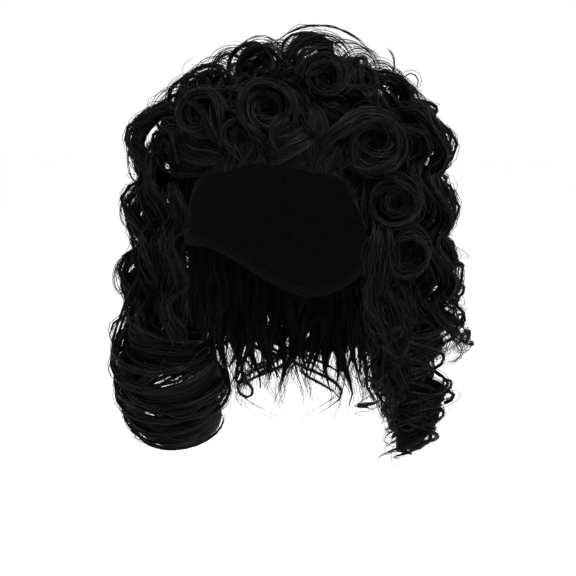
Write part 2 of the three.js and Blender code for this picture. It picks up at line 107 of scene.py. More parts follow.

# Hanging ringlets, as in the CAD, and then three of the scene alone: the upper turn of the barrel, and two
# within the lowest one on the left. bulge: how far the barrel swells. tip: share of the lock's length at
# which its body, dark with painted shade, ends.
RINGLET_COLUMNS = (
    "group az_from az_to count root_el top_out end_out top_z end_z "
    "swing top_r end_r bulge turns width thick tip"
).split()
RINGLETS = (
    (LEFT, 104, 104, 1, 44, 18, 38, 80, -116, 0, 12, 16, 0, -4, 18, 6, 0.84),
    (LEFT, 86, 86, 1, -2, 24, 24, -76, -170, -2, 14, 17, 0, 2.25, 20, 6, 0.88),
    (RIGHT, -105, -105, 1, 44, 18, 34, 80, -140, 0, 12, 16, 0, -4.5, 18, 6, 0.84),
    (RIGHT, -72, -72, 1, -4, 15, 6, -104, -150, -22, 27, 16, 14, -2, 24, 8, 0.98),
    (BACK, 128, 232, 5, 46, 20, 28, 80, -160, 0, 12, 16, 0, 4, 22, 7, 0.76),
    (RIGHT, -70, -70, 1, 4, 17, 15, -82, -124, -4, 20, 31, 0, -1.5, 24, 8, 0.9),
    (LEFT, 82, 82, 1, -2, 20, 21, -92, -170, 2, 11, 16, 0, -2.2, 22, 7, 0.9),
    (LEFT, 80, 82, 1, -6, 20, 22, -112, -176, 2, 6, 12, 0, 2.0, 24, 8, 0.94),
)

# Wavy locks: the first six as in the CAD, and then thinner ones that fill in between them and at the back.
WAVE_COLUMNS = (
    "group root_az az swing root_el top_out end_out top_z end_z sway bounce waves phase width thick"
).split()
WAVES = (
    (LEFT, 62, 58, 16, 2, 9, 22, -32, -132, 2, 3, 1.6, 0.1, 26, 9),
    (LEFT, 70, 72, -4, 0, 16, 15, -48, -152, 3, 4, 2.2, 0.6, 22, 9),
    (LEFT, 88, 90, 0, 44, 31, 40, 70, -106, 3, 6, 3.8, 0.61, 26, 11),
    (RIGHT, -65, -56, -4, 14, 10, 14, 14, -104, 3, 4, 2.6, 0.2, 26, 9),
    (RIGHT, -72, -68, -2, 38, 20, 26, 52, -104, 3, 5, 3.0, 0.5, 24, 9),
    (RIGHT, -84, -81, 0, 44, 27, 38, 70, -112, 3, 6, 3.5, 0.73, 26, 11),
    (LEFT, 82, 86, 2, 40, 24, 28, 50, -96, 3, 5, 3.2, 0.2, 22, 7),
    (LEFT, 64, 63, 3, 0, 10, 12, -46, -148, 3, 4, 2.2, 0.3, 18, 7),
    (RIGHT, -62, -62, 0, 4, 12, 14, 0, -124, 3, 4, 2.5, 0.8, 18, 6),
    (RIGHT, -92, -92, 0, 40, 24, 34, 40, -132, 3, 5, 3.4, 0.3, 18, 6),
    (BACK, 122, 122, 0, 40, 18, 26, 52, -136, 3, 5, 3.6, 0.2, 20, 6),
    (BACK, 141, 141, 0, 40, 14, 22, 52, -150, 3, 5, 3.8, 0.7, 20, 6),
    (BACK, 167, 167, 0, 40, 14, 22, 52, -152, 3, 5, 3.7, 0.4, 20, 6),
    (BACK, 193, 193, 0, 40, 14, 22, 52, -148, 3, 5, 3.8, 0.9, 20, 6),
    (BACK, 219, 219, 0, 40, 14, 22, 52, -152, 3, 5, 3.6, 0.1, 20, 6),
    (BACK, 238, 238, 0, 40, 18, 26, 52, -138, 3, 5, 3.7, 0.5, 20, 6),
    (RIGHT, -68, -70, 2, 34, 19, 18, 44, -64, 3, 4, 2.2, 0.6, 22, 7),
)

# Hair from the root to a lock's start.
LEAD_HANDLE, LEAD_HANDLE_MAX, LEAD_LIFT = 0.4, 26.0, 0.6
LEAD_POINTS = 24
START_ANGLES = 36
ROLL_INNER = 0.4  # last radius of a roll, as a share of its first

# Locks in a row of several differ: this far in height, and by these shares of it at the top and the end.
LOOSENESS = 7.0
TOP_LOOSE, END_LOOSE = 0.4, 0.7
ROW_SEEDS = 7

RINGLET_COVER = 1.05
BARREL_COVER = 1.75  # its hair spreads over this share of the ribbon, so that its turns meet

# Looser copies of a wound lock, for its wisps: changes for each unit of looseness.
ROLL_WILD, RINGLET_WILD = 1.0, 2.0
USUAL_RADIUS = 17.0  # wider coils are looser
LOOSE_RADIUS, LOOSE_INWARD, LOOSE_OUTWARD = 1.3, -1.8, 0.9
LOOSE_END_RADIUS, LOOSE_TURNS, LOOSE_START = 0.05, 0.03, 0.15
LOOSE_TOP, LOOSE_FOOT = 1.2, 2.0  # of the coil's axis
RINGLET_UNEVEN, UNEVEN_WAVES = 0.03, 1.4  # turns closer together and further apart
COIL_POINTS = 40  # in a turn

# The same for wavy locks, whose ends swell.
LOOSE_WAVES, LOOSE_PHASE, LOOSE_SWING = 0.05, 0.07, 2.0
LOOSE_SWELL, SWELL_RANGE = 0.5, (-0.7, 1)
END_SWELL, END_SWELL_FROM = 0.5, 0.65
WAVE_POINTS, WAVE_POINTS_LEAST = 18, 12  # in a wave, and more

# The same for locks combed over the head.
LOOSE_ROOT = 6  # degrees
SWEEP_ABOVE_CAP = 0.6
SWEEP_POINTS, RISE_POINTS = 30, 8

# How a lock is made up. wisps: bundles of hair across each millimetre of its ribbon. strands: hairs in each.
# loose: how far a wisp strays from its lock. inner, outer: the wisps' place in the ribbon's thickness, as
# shares of half of it, towards its inside and its outside. wander: how far a hair strays from its wisp.
# end: share of the lock's breadth left at its end. step: share of its group's segment. short: the shortest
# wisp, as a share of its lock's length.
STYLE_COLUMNS = "wisps strands loose inner outer wander end step short".split()
STYLE_ROWS = {
    "roll": (0.74, 8, 0.8, -1.9, 1.9, 0.6, 0.5, 1.0, 1.0),
    "sweep": (0.50, 8, 0.7, 0.0, 1.2, 0.5, 0.5, 1.0, 1.0),
    "ringlet": (0.40, 6, 0.8, 0.1, 1.4, 1.0, 0.75, 0.85, 0.86),
    "wave": (0.46, 6, 1.2, 0.2, 1.5, 1.6, 0.8, 1.2, 0.88),
}
STYLES = {kind: dict(zip(STYLE_COLUMNS, row)) for kind, row in STYLE_ROWS.items()}

# Groups of hair. segment: length of a strand's straight pieces. fullness, mess: shares of the wisps and
# looseness above. bed: hairs in the root layer. curls: small curls between the locks. ends: small curls at
# the locks' ends. frizz: single hairs that stand off.
GROUP_COLUMNS = "name az_from az_to hang_from hang_to segment fullness mess bed curls ends frizz".split()
GROUPS = (
    (FRONT, -56, 56, None, None, 5.4, 1.35, 1.0, 150, 14, 0, 60),
    (LEFT, 56, 118, 74, 118, 8.0, 0.82, 1.0, 100, 6, 64, 110),
    (RIGHT, -118, -56, -118, -70, 7.2, 0.78, 1.0, 110, 8, 0, 110),
    (CROWN, 0, 360, None, None, 6.0, 0.70, 1.5, 150, 26, 0, 170),
    (BACK, 118, 242, 118, 242, 9.5, 0.56, 1.0, 110, 6, 24, 90),
)
BED_BODIES = 90  # locks beneath the root layer, dark with painted shade, in each group

# Locks combed up and aside over the front: azimuth, elevation and distance from the head at the root, the
# middle and the end. The first four are as in the CAD, and the others lie in the root layer.
SWEEP_COLUMNS = "az el out width thick".split()
SWEEPS = (
    ((4, 16, 33), (30, 33, 41), (7, 13, 14), 22, 7),
    ((-25, -44, -62), (28, 30, 35), (7, 13, 15), 22, 7),
    ((-13, -17, -22), (31, 37, 46), (7, 13, 14), 18, 7),
    ((30, 29, 25), (30, 38, 54), (7, 13, 14), 18, 7),
    ((40, 48, 56), (26, 32, 44), (3, 11, 13), 18, 5),
    ((-4, -6, -8), (30, 36, 46), (3, 10, 12), 18, 5),
    ((-40, -54, -70), (24, 24, 27), (3, 11, 14), 20, 5),
)

# Loose loops seen against the light, as arcs square to the photograph's view. right, up, depth: the arc's
# middle from the head's middle. start and sweep in degrees, anticlockwise from the right. end: its last
# radius as a share of its first. tall: its height as a share of its width.
ARC_COLUMNS = "right up depth radius start sweep end tall strands spread".split()
ARCS = {
    CROWN: (
        (24, 107, 28, 25, 205, -205, 0.9, 1.0, 26, 5.0),
        (22, 94, 30, 45, 132, -98, 1.0, 1.0, 12, 0.7),
        (26, 106, 26, 17, 200, -210, 0.8, 1.0, 8, 6.0),
        (-21, 111, 30, 19, 10, 150, 0.9, 1.0, 10, 4.0),
        (-6, 116, 24, 13, 175, -150, 0.9, 0.9, 5, 2.0),
        (84, 88, 8, 10, 0, 420, 0.5, 1.0, 9, 3.5),
        (89, 100, 0, 7, -70, 300, 0.8, 1.0, 4, 1.5),
        (79, 102, 4, 6, 200, -290, 0.8, 1.1, 4, 1.5),
        (66, 112, 10, 11, -50, 110, 1.0, 1.3, 6, 0.4),
        (-80, 76, 4, 18, 75, 105, 1.0, 1.0, 6, 3.0),
        (-52, 100, 22, 14, -20, 230, 0.9, 1.0, 14, 5.0),
        (-68, 92, 16, 13, -10, 240, 0.8, 1.0, 12, 5.0),
        (-40, 106, 14, 15, 10, 190, 0.9, 1.0, 12, 5.0),
        (52, 106, 20, 15, 190, -230, 0.8, 1.0, 12, 4.0),
        (66, 100, 14, 13, 180, -230, 0.8, 1.0, 12, 4.5),
        (40, 100, 10, 32, 120, -100, 0.9, 0.9, 8, 3.0),
        (-8, 108, 18, 16, 20, 170, 0.8, 1.1, 14, 5.0),
        (-14, 118, 22, 10, -30, 200, 0.7, 1.0, 10, 3.5),
        (2, 104, 24, 17, 10, 160, 0.9, 1.0, 14, 5.0),
        (88, 78, 4, 12, 100, -240, 0.8, 1.2, 8, 3.0),
    ),
    RIGHT: (
        (-84, 62, 2, 20, 80, 130, 1.0, 1.1, 6, 3.0),
        (-111, 42, -8, 6, 70, 310, 1.0, 2.7, 7, 0.6),
        (-114, 4, -4, 9, 40, 260, 0.8, 1.5, 6, 3.0),
        (-118, -44, -4, 9, 50, 260, 0.8, 1.6, 6, 3.0),
        (-120, -98, -2, 9, 60, 250, 0.8, 1.5, 6, 3.0),
    ),
    LEFT: (
        (119, -80, 0, 7, 190, -330, 0.7, 0.9, 5, 1.5),
        (126, -92, 0, 8, 150, -330, 0.8, 0.9, 5, 1.5),
        (118, -98, -4, 10, 110, -260, 0.9, 0.9, 5, 1.5),
        (112, 16, -6, 9, 140, -280, 0.8, 1.4, 5, 2.5),
        (114, -36, -6, 12, 130, -260, 0.9, 1.4, 6, 3.0),
        (110, -66, -2, 12, 140, -300, 0.8, 1.2, 10, 4.0),
        (108, -88, -4, 12, 120, -300, 0.8, 1.1, 10, 4.0),
    ),
}

# Each kind of hair draws from random streams of its own, one for each lock or group.
LOCK_STREAM, CURL_STREAM, BED_STREAM, END_STREAM = 0, 300, 500, 600
HANG_STREAM, ARC_STREAM, FRIZZ_STREAM = 700, 800, 900

# Strands, as closed tubes.
STRAND_RADIUS = 0.27
STRAND_TIP, STRAND_TIP_FROM = 0.35, 0.75  # share of it at the tip, and where the tip begins
STRAND_THICKNESS = (0.75, 1.15)
STRAND_SIDES = 3
STRAND_ROOT, STRAND_END = 0.4, 0.6  # shares of the bundle's breadth there
STRAND_SPREAD, STRAND_SPREAD_MAX = 0.6, 1.3
WANDER_FROM, WANDER_LENGTHS = 25, (22, 60)
LEAST_STATIONS = 5
STREAK_LENGTH = 45.0
STREAK_SEEDS, STREAK_APART = 9, 50  # keep the streaks of one tube unlike those of the next
TURN_RANGE = 2

# Bodies of locks and wisps, dark with painted shade.
TAPER = 45.0  # length over which a lock opens and closes
BARREL_TAPER, BARREL_END = 190.0, 0.2  # the barrel closes over its last turn, to this share of its breadth
TAPER_SHARE = 0.35  # at most this share of a short one
CORE_ROOT, CORE_END = 0.35, 0.1  # shares of its breadth there
CORE_SIDES = 8
BODY_WIDE, BODY_THICK = 0.38, 0.34  # half sizes of a lock's body, dark with painted shade, as shares of its ribbon
BODY_TIP = 0.84  # share of a lock's length at which its body ends, if it hasn't its own
BODY_STEP = 1.2  # its segments, as a share of the strands'

# Wisps.
WISP_ROOT = 0.5  # share of its place in the ribbon, at the root
SWAY_ACROSS, SWAY_THROUGH = (1.2, 1.3), (0.8, 1.7)  # size and waves
WISP_HALF = (1.5, 2.3)
WISP_WIDE, WISP_THICK, WISP_STEP, WISP_SIDES = 0.7, 0.6, 1.4, 5
WISP_TIPS, WISP_STRAND_TIPS = (0.88, 0.97), (0.9, 1.0)
STRAY_SPREAD, STRAY_WANDER, STRAY_TIPS = 2, 2.4, (0.6, 1.0)  # the one hair that strays from each

# Small curls between the locks.
CURL_LOW, CURL_HIGH = 30, 84  # elevation
CURL_AZ, CURL_EL, GOLDEN = (0.2, 0.8), (0, 0.2), 0.618
CURL_TILT = 0.8
CURL_RADII, CURL_INNER, CURL_TURNS = (7, 11), 0.5, (1.0, 1.6)
CURL_OUT, CURL_DEPTH = (13, 19), 6
CURL_WIDTH, CURL_THICK, CURL_STRANDS = 9, 4, 5
CURL_PLACES = (-0.7, 0.0, 0.7)

# Small curls at the locks' ends.
LOOSE_REACH = 11.0  # furthest that loose hair stands out of the CAD's box
ENDS_BELOW = -100.0  # height at which locks with such curls end
END_PLACES = (0.64, 0.9)  # along a wisp
END_DROOP = 0.6
END_RADII, END_CLOSING, END_TURNS, END_REACH = (4.5, 8.5), 0.4, (0.9, 1.7), (3, 10)
END_WISP = (4, 3.8, 0.6)  # strands, segment and wander
END_POINTS = 40

# Single hairs that stand off.
FRIZZ_CLEAR = 3.0  # from the head
FRIZZ_PLACES = (0.2, 0.95)  # along a wisp
FRIZZ_RISE, FRIZZ_TURN = 0.6, 0.6
FRIZZ_RADII, FRIZZ_SWEEP, FRIZZ_LIFT = (4, 13), (1.5, 5.0), (0.3, 0.8)
FRIZZ_HAIR = (1, 0.5, 0.5, 4.5, 0.6, (0.7, 1.0), 0.2)  # what add_strands asks for
FRIZZ_POINTS = 12

# Loose loops.
ARC_SLANT = 6  # how far an arc's end lies behind its start
ARC_HAIR = (4.0, 0.8, (0.8, 1.0))  # segment, wander and lengths
ARC_POINTS = 60

# Root layer.
BED_STATIONS = 11
BED_GAP, BODY_GAP = 1.0, 2.4  # from the group's edges
BED_BODY_HALF, BED_BODY_SIDES, BED_BODY_THIN = 2.4, 6, 0.55
BED_BODY_STREAKS = 6.0
BED_BODY_OUT, BED_BODY_LIFT = 0.6, 0.5  # the bodies lie at this share of the hairs' height, and this above
BED_ROUGH = 0.25
BED_TIP, BED_TIP_FROM = 0.6, 0.8
FRONT_TOP, FRONT_LAG = CROWN_FROM + 2, 1.3
FRONT_COMB, FRONT_COMB_BREADTH, FRONT_RETURN = 30, 12, 0.4
FRONT_WAVE, FRONT_WAVES = 4, 0.8
FRONT_OUT, FRONT_RISE, FRONT_LIFT, FRONT_RISE_TO = 2.5, 5, 8, 0.5
CROWN_TOP, CROWN_FOOT, CROWN_TWIST = 89, CROWN_FROM - 1, 26
CROWN_OUT, CROWN_LIFT, CROWN_WAVE, CROWN_WAVES = 5, 7, 2, 1.2
SIDE_SWAY, SIDE_SWAYS = 5, 1.5
SIDE_OUT, SIDE_LIFT, SIDE_WAVE, SIDE_WAVES = 4, 8, 2.5, 1.6

# Underlayer behind the locks.
HANG_INSET, HANG_STEP = 1.5, 2.5  # degrees
HANG_TOP, HANG_END, HANG_ENDS = 14, -150, (-10, 20)
HANG_SWAY, HANG_SWAYS, HANG_CURL_FROM = 1.6, 2.2, 0.7
HANG_OUT, HANG_WAVE, HANG_WAVE_GROWS, HANG_WAVES = 4.5, 1.6, 2.4, 2.4
HANG_TAPER, HANG_TIPS = 65.0, (0.78, 0.92)  # of its bodies
HANG_BODY = (4.2, 1.2, 6, 10.0)  # half width, half thickness, sides and segment
HANG_HAIR = (8, 4.6, 2.4, 10.0, 1.8, (0.84, 1.0))  # what add_strands asks for
HANG_POINTS = 24

CAP_COLUMNS, CAP_ROWS = 120, 30
CAP_INSIDE = 0.05  # its inside, off the head
UP = np.array((0.0, 0.0, 1.0))
TURN = 2 * np.pi


def stream(kind, index):
    """Random numbers for one lock, or for one kind of hair in one group."""
    return np.random.default_rng((SEED, kind + index))


def unit(v):
    return v / np.maximum(np.linalg.norm(v, axis=-1, keepdims=True), 1e-9)


def square_to(v, u):
    return unit(v - np.sum(v * u, axis=-1, keepdims=True) * u)


def blend(a, b, t):
    return a + (b - a) * t


def smooth(x, a, b):
    t = np.clip((x - a) / (b - a), 0, 1)
    return t * t * (3 - 2 * t)


def head_point(az, el, out):
    """A point on the head, or that far outside it."""
    a, e = np.radians(az), np.radians(el)
    rise = np.where(e >= 0, CROWN_RISE, NAPE_DROP)
    x = (HALF_BREADTH + out) * np.cos(e) * np.sin(a)
    y = -(HALF_LENGTH + out) * np.cos(e) * np.cos(a)
    return np.stack(np.broadcast_arrays(x, y, (rise + out) * np.sin(e)), -1)


def beside_point(az, out, z):
    p = head_point(az, 0.0, out)
    p[..., 2] = z
    return p


def direction(az, el):
    a, e = math.radians(az), math.radians(el)
    return np.array((math.cos(e) * math.sin(a), -math.cos(e) * math.cos(a), math.sin(e)))


def head_normal(az, el):
    return unit(head_point(az, el, 1.0) - head_point(az, el, 0.0))


def edge_elevation(az):
    """Elevation of the cap's edge at an azimuth."""
    turned = np.abs((np.asarray(az, float) + 540) % 360 - 180)
    height = np.full_like(turned, CAP_EDGE[0][1])
    for (a, za), (b, zb) in zip(CAP_EDGE, CAP_EDGE[1:]):
        height = np.where(turned >= a, blend(za, zb, smooth(turned, a, b)), height)
    return np.degrees(np.arcsin(height / np.where(height >= 0, CROWN_RISE, NAPE_DROP)))


def out_of(p):
    """How far outside the head a point is."""
    rise = np.where(p[..., 2] >= 0, CROWN_RISE, NAPE_DROP)
    axes = np.stack(np.broadcast_arrays(HALF_BREADTH, HALF_LENGTH, rise), -1)
    return np.linalg.norm(p, axis=-1) * (1 - 1 / np.linalg.norm(p / axes, axis=-1))


def clear_of_head(points):
    """Moves out what would go through the cap."""
    short = np.maximum(HEAD_CLEAR - out_of(points), 0)
    return points + unit(points) * short[..., None]


def strays(points):
    """Whether loose hair would stand too far out of the CAD's box."""
    low, high = np.array(CAD_BOX) / MM
    return (points < low - LOOSE_REACH).any() or (points > high + LOOSE_REACH).any()


def vary(i, k):
    """A set spread between -1 and 1, as in the CAD."""
    return math.sin(2.4 * i + 1.7 * k)


def roll_lock(group, row):
    lock = dict(zip(ROLL_COLUMNS, row), group=group)
    facing = direction(lock["face_az"], lock["face_el"])
    face = np.array((lock["x"], lock["y"], lock["z"])) - facing * lock["width"] / 2
    return dict(
        lock, kind="roll",
        axis_from=face, axis_to=face - facing * lock["width"] / 2, zero=UP,
        radius_from=lock["radius"], radius_to=lock["radius"] * ROLL_INNER, bulge=0,
    )


def ringlet_locks(row_index, row):
    row = dict(zip(RINGLET_COLUMNS, row))
    spaces = row["count"] - 1
    loose = LOOSENESS if spaces else 0.0
    locks = []
    for i in range(row["count"]):
        az = blend(row["az_from"], row["az_to"], i / spaces if spaces else 0.0)
        seed = row_index * ROW_SEEDS + i
        top_out = row["top_out"] + TOP_LOOSE * loose * vary(seed, 2)
        top_z = row["top_z"] + loose * vary(seed, 3)
        end_out = row["end_out"] + END_LOOSE * loose * vary(seed, 4)
        end_z = row["end_z"] + loose * (vary(seed, 1) - 1)
        locks.append(dict(
            row, kind="ringlet", root_az=az,
            axis_from=beside_point(az, top_out, top_z),
            axis_to=beside_point(az + row["swing"], end_out, end_z),
            zero=direction(az, 0),
            radius_from=row["top_r"], radius_to=row["end_r"],
            turns=row["turns"] * (-1 if i % 2 else 1),
            cover=BARREL_COVER if row["bulge"] else RINGLET_COVER,
            closing=(BARREL_END, BARREL_TAPER) if row["bulge"] else None,
        ))
    return locks


LOCKS = [roll_lock(group, row) for group, rows in ROLLS.items() for row in rows]
for row_index, row in enumerate(RINGLETS):
    LOCKS += ringlet_locks(row_index, row)
LOCKS += [dict(zip(WAVE_COLUMNS, row), kind="wave") for row in WAVES]
LOCKS += [dict(zip(SWEEP_COLUMNS, row), kind="sweep", group=FRONT) for row in SWEEPS]


def coil(lock, start, t):
    """Points of a lock's coil, and the way its ribbon is wide there."""
    t = np.asarray(t, float)[..., None]
    axis = lock["axis_to"] - lock["axis_from"]
    back = -unit(axis)
    e1 = square_to(lock["zero"], back)
    e2 = np.cross(e1, back)
    bunching = np.sin(TURN * (UNEVEN_WAVES * t + lock.get("phase", 0.0)))
    wind = t + lock.get("uneven", 0.0) * bunching
    angle = np.asarray(start)[..., None] + TURN * lock["turns"] * wind
    radius = blend(lock["radius_from"], lock["radius_to"], t) + lock["bulge"] * np.sin(np.pi * t)
    return lock["axis_from"] + axis * t + radius * (np.cos(angle) * e1 + np.sin(angle) * e2), back


def lock_start(lock):
    """Angle at which the coil begins, and whether it has a lead from its root on the head."""
    angles = np.arange(START_ANGLES) * TURN / START_ANGLES
    zero = np.zeros(START_ANGLES)
    places, _ = coil(lock, angles, zero)
    outs = out_of(places)
    if lock["kind"] == "roll" and outs.min() < ROOT_DEPTH:
        return angles[outs.argmin()], False
    root = head_point(lock["root_az"], lock["root_el"], ROOT_DEPTH)
    nudge = 1e-4
    tangents = unit(coil(lock, angles, zero + nudge)[0] - coil(lock, angles, zero - nudge)[0])
    return angles[np.sum(tangents * unit(places - root), -1).argmax()], True


class Line:
    """A smooth line with the wide way of the ribbon along it, sampled by share of its length."""

    def __init__(self, points, wide):
        steps = np.linalg.norm(np.diff(points, axis=0), axis=1)
        self.at = np.concatenate(((0,), np.cumsum(steps)))
        self.length = self.at[-1]
        self.points = points
        tangent = unit(np.gradient(points, axis=0))
        self.wide = square_to(wide, tangent)
        self.thick = np.cross(tangent, self.wide)

    def sample(self, share):
        along = np.clip(share, 0, 1) * self.length
        i = np.clip(np.searchsorted(self.at, along) - 1, 0, len(self.at) - 2)
        f = ((along - self.at[i]) / np.maximum(self.at[i + 1] - self.at[i], 1e-9))[..., None]
        return [v[i] * (1 - f) + v[i + 1] * f for v in (self.points, self.wide, self.thick)]


def bezier(a, b, c, d, t):
    t = t[:, None]
    u = 1 - t
    return u**3 * a + 3 * u**2 * t * b + 3 * u * t**2 * c + t**3 * d


def with_lead(lock, points, wide):
    """A line with the hair from the lock's root before it."""
    root = head_point(lock["root_az"], lock["root_el"], ROOT_DEPTH)
    tangent = unit(points[1] - points[0])
    ahead = points[0] - root
    handle = min(LEAD_HANDLE_MAX, np.linalg.norm(ahead) * LEAD_HANDLE)
    normal = head_normal(lock["root_az"], lock["root_el"])
    leaving = unit(unit(ahead) + normal * LEAD_LIFT)
    share = np.linspace(0, 1, LEAD_POINTS)[:-1]
    lead = bezier(root, root + leaving * handle, points[0] - tangent * handle, points[0], share)
    wide_root = unit(np.cross(normal, leaving))
    wide_root = wide_root * (1 if np.dot(wide_root, wide[0]) >= 0 else -1)
    lead_wide = unit(wide_root * (1 - share[:, None]) + wide[0] * share[:, None])
    return Line(np.vstack((lead, points)), np.vstack((lead_wide, wide)))


def coil_line(lock, rng, loose):
    """Middle line of a rolled or wound lock, or of a looser copy of it."""
    own = dict(lock)
    start, led = lock_start(lock)
    if loose:
        rolled = lock["kind"] == "roll"
        wild = ROLL_WILD if rolled else RINGLET_WILD
        largest = max(lock["radius_from"], lock["radius_to"]) + lock["bulge"]
        change = np.clip(rng.normal(), LOOSE_INWARD, LOOSE_OUTWARD)
        scale = 1 + LOOSE_RADIUS * wild * loose * change / largest
        own["uneven"] = 0.0 if rolled else RINGLET_UNEVEN
        own["phase"] = rng.uniform()
        own["radius_from"] = lock["radius_from"] * scale
        own["radius_to"] = lock["radius_to"] * (scale + LOOSE_END_RADIUS * loose * rng.normal())
        own["bulge"] = lock["bulge"] * scale
        own["turns"] = lock["turns"] * (1 + LOOSE_TURNS * loose * rng.normal())
        tilt = max(1.0, largest / USUAL_RADIUS) * loose
        own["axis_from"] = lock["axis_from"] + rng.normal(0, LOOSE_TOP * tilt, 3)
        own["axis_to"] = lock["axis_to"] + rng.normal(0, LOOSE_FOOT * tilt, 3)
        start = start + LOOSE_START * wild * loose * rng.normal()
    t = np.linspace(0, 1, 2 + int(COIL_POINTS * abs(lock["turns"])))
    points, back = coil(own, start, t)
    tangent = unit(np.gradient(points, axis=0))
    wide = square_to(np.broadcast_to(back, points.shape), tangent)
    return with_lead(lock, points, wide) if led else Line(points, wide)


def wave_line(lock, rng, loose):
    """Middle line of a wavy lock, or of a looser copy of it, whose end curls more."""
    waves, phase, swell, swing = lock["waves"], lock["phase"], 1.0, lock["swing"]
    if loose:
        waves = waves * (1 + LOOSE_WAVES * loose * rng.normal())
        phase = phase + LOOSE_PHASE * loose * rng.normal()
        swell = 1 + LOOSE_SWELL * loose * rng.uniform(*SWELL_RANGE)
        swing = swing + LOOSE_SWING * loose * rng.normal()
    t = np.linspace(0, 1, WAVE_POINTS_LEAST + int(WAVE_POINTS * lock["waves"]))
    turn = TURN * (waves * t + phase)
    swell = swell * (1 + END_SWELL * smooth(t, END_SWELL_FROM, 1.0))
    az = lock["az"] + swing * t + swell * lock["sway"] * np.sin(turn)
    out = blend(lock["top_out"], lock["end_out"], t) + swell * lock["bounce"] * np.cos(turn)
    points = beside_point(az, out, blend(lock["top_z"], lock["end_z"], t))
    a = np.radians(az)
    wide = np.stack((np.cos(a), np.sin(a), 0 * a), -1)
    return with_lead(lock, points, wide)


def through(values, t):
    """A smooth curve through three values."""
    first, middle, last = values
    bent = 2 * middle - (first + last) / 2
    return (1 - t) ** 2 * first + 2 * t * (1 - t) * bent + t**2 * last


def sweep_line(lock, rng, loose):
    """Middle line of a lock combed over the head, from the edge of the cap."""
    t = np.linspace(0, 1, SWEEP_POINTS)
    points = head_point(*(through(lock[name], t) for name in ("az", "el", "out")))
    az = lock["az"][0] + (LOOSE_ROOT * loose * rng.uniform(-1, 1) if loose else 0.0)
    edge = head_point(az, edge_elevation(az) - HAIRLINE_OVERHANG, CAP_WALL + SWEEP_ABOVE_CAP)
    reach = np.linalg.norm(points[0] - edge)
    ahead = unit(points[1] - points[0])
    share = np.linspace(0, 1, RISE_POINTS)[:-1]
    rise = bezier(edge, edge + UP * reach / 3, points[0] - ahead * reach / 3, points[0], share)
    points = np.vstack((rise, points))
    return Line(points, np.cross(unit(points), unit(np.gradient(points, axis=0))))


LINE_MAKERS = {"roll": coil_line, "ringlet": coil_line, "wave": wave_line, "sweep": sweep_line}


def scene_object(name, data):
    obj = bpy.data.objects.new(name, data)
    bpy.context.scene.collection.objects.link(obj)
    return obj


class Tubes:
    """Closed tubes gathered into one mesh. The UV map runs along each tube and round it."""

    def __init__(self):
        self.verts, self.uvs, self.faces, self.under, self.count = [], [], [], [], 0

    def add(self, points, wide, half_wide, half_thick, sides, turn, v_from, v_span, under=0):
        """points and wide: tubes x stations x 3. half_wide, half_thick: tubes x stations."""
        tubes, stations = points.shape[:2]
        points = clear_of_head(points)
        tangent = unit(np.gradient(points, axis=1))
        e1 = square_to(wide, tangent)
        e2 = np.cross(tangent, e1)
        k = np.arange(sides)
        angle = turn[:, None, None] + TURN * k / sides
        ring = (
            points[:, :, None]
            + (half_wide[..., None] * np.cos(angle))[..., None] * e1[:, :, None]
            + (half_thick[..., None] * np.sin(angle))[..., None] * e2[:, :, None]
        )
        steps = np.linalg.norm(np.diff(points, axis=1, prepend=points[:, :1]), axis=2)
        along = np.cumsum(steps, axis=1)
        v = STREAK_APART * v_from[:, None, None] + v_span * (1 - np.abs(2 * k / sides - 1))
        u = np.broadcast_to(along[..., None] / STREAK_LENGTH, ring.shape[:3])
        self.verts.append(ring.reshape(-1, 3))
        self.uvs.append(np.stack((u, np.broadcast_to(v, u.shape)), -1).reshape(-1, 2))
        index = self.count + np.arange(tubes * stations * sides).reshape(tubes, stations, sides)
        across = np.roll(index, -1, axis=2)
        quad = np.stack((index[:, :-1], across[:, :-1], across[:, 1:], index[:, 1:]), -1)
        self.faces += [quad.reshape(-1, 4), np.concatenate((index[:, 0, ::-1], index[:, -1]))]
        self.under += [np.full(len(f), under) for f in self.faces[-2:]]
        self.count += tubes * stations * sides

    def mesh_object(self, name, materials):
        def fill(items, what, values, kind=np.int32):
            items.foreach_set(what, values.ravel().astype(kind))

        verts = np.concatenate(self.verts) * MM
        uvs = np.concatenate(self.uvs)
        loops = np.concatenate([f.ravel() for f in self.faces])
        sizes = np.concatenate([np.full(len(f), f.shape[1]) for f in self.faces])
        starts = np.concatenate(((0,), np.cumsum(sizes)[:-1]))
        mesh = bpy.data.meshes.new(name)
        mesh.vertices.add(len(verts))
        fill(mesh.vertices, "co", verts, np.float32)
        mesh.loops.add(len(loops))
        fill(mesh.loops, "vertex_index", loops)
        mesh.polygons.add(len(sizes))
        fill(mesh.polygons, "loop_start", starts)
        fill(mesh.polygons, "material_index", np.concatenate(self.under))
        mesh.update(calc_edges=True)
        fill(mesh.uv_layers.new(name="UVMap").uv, "vector", uvs[loops], np.float32)
        mesh.shade_smooth()
        for material in materials:
            mesh.materials.append(material)
        return scene_object(name, mesh)


def wandering(rng, count, along):
    """A slow wander for each strand, as the sum of two sines along it."""
    total = np.zeros_like(along)
    for _ in range(2):
        length = rng.uniform(*WANDER_LENGTHS, (count, 1))
        total += np.sin(TURN * (along / length + rng.uniform(0, 1, (count, 1))))
    return total * 0.5


def fullness(along, length, root, end, taper=TAPER):
    """Share of its full width that a lock has, that far along it. root, end: the shares at its ends."""
    most = TAPER_SHARE * length
    opened = blend(root, 1, smooth(along, 0, min(TAPER, most)))
    return opened * blend(end, 1, smooth(length - along, 0, min(taper, most)))


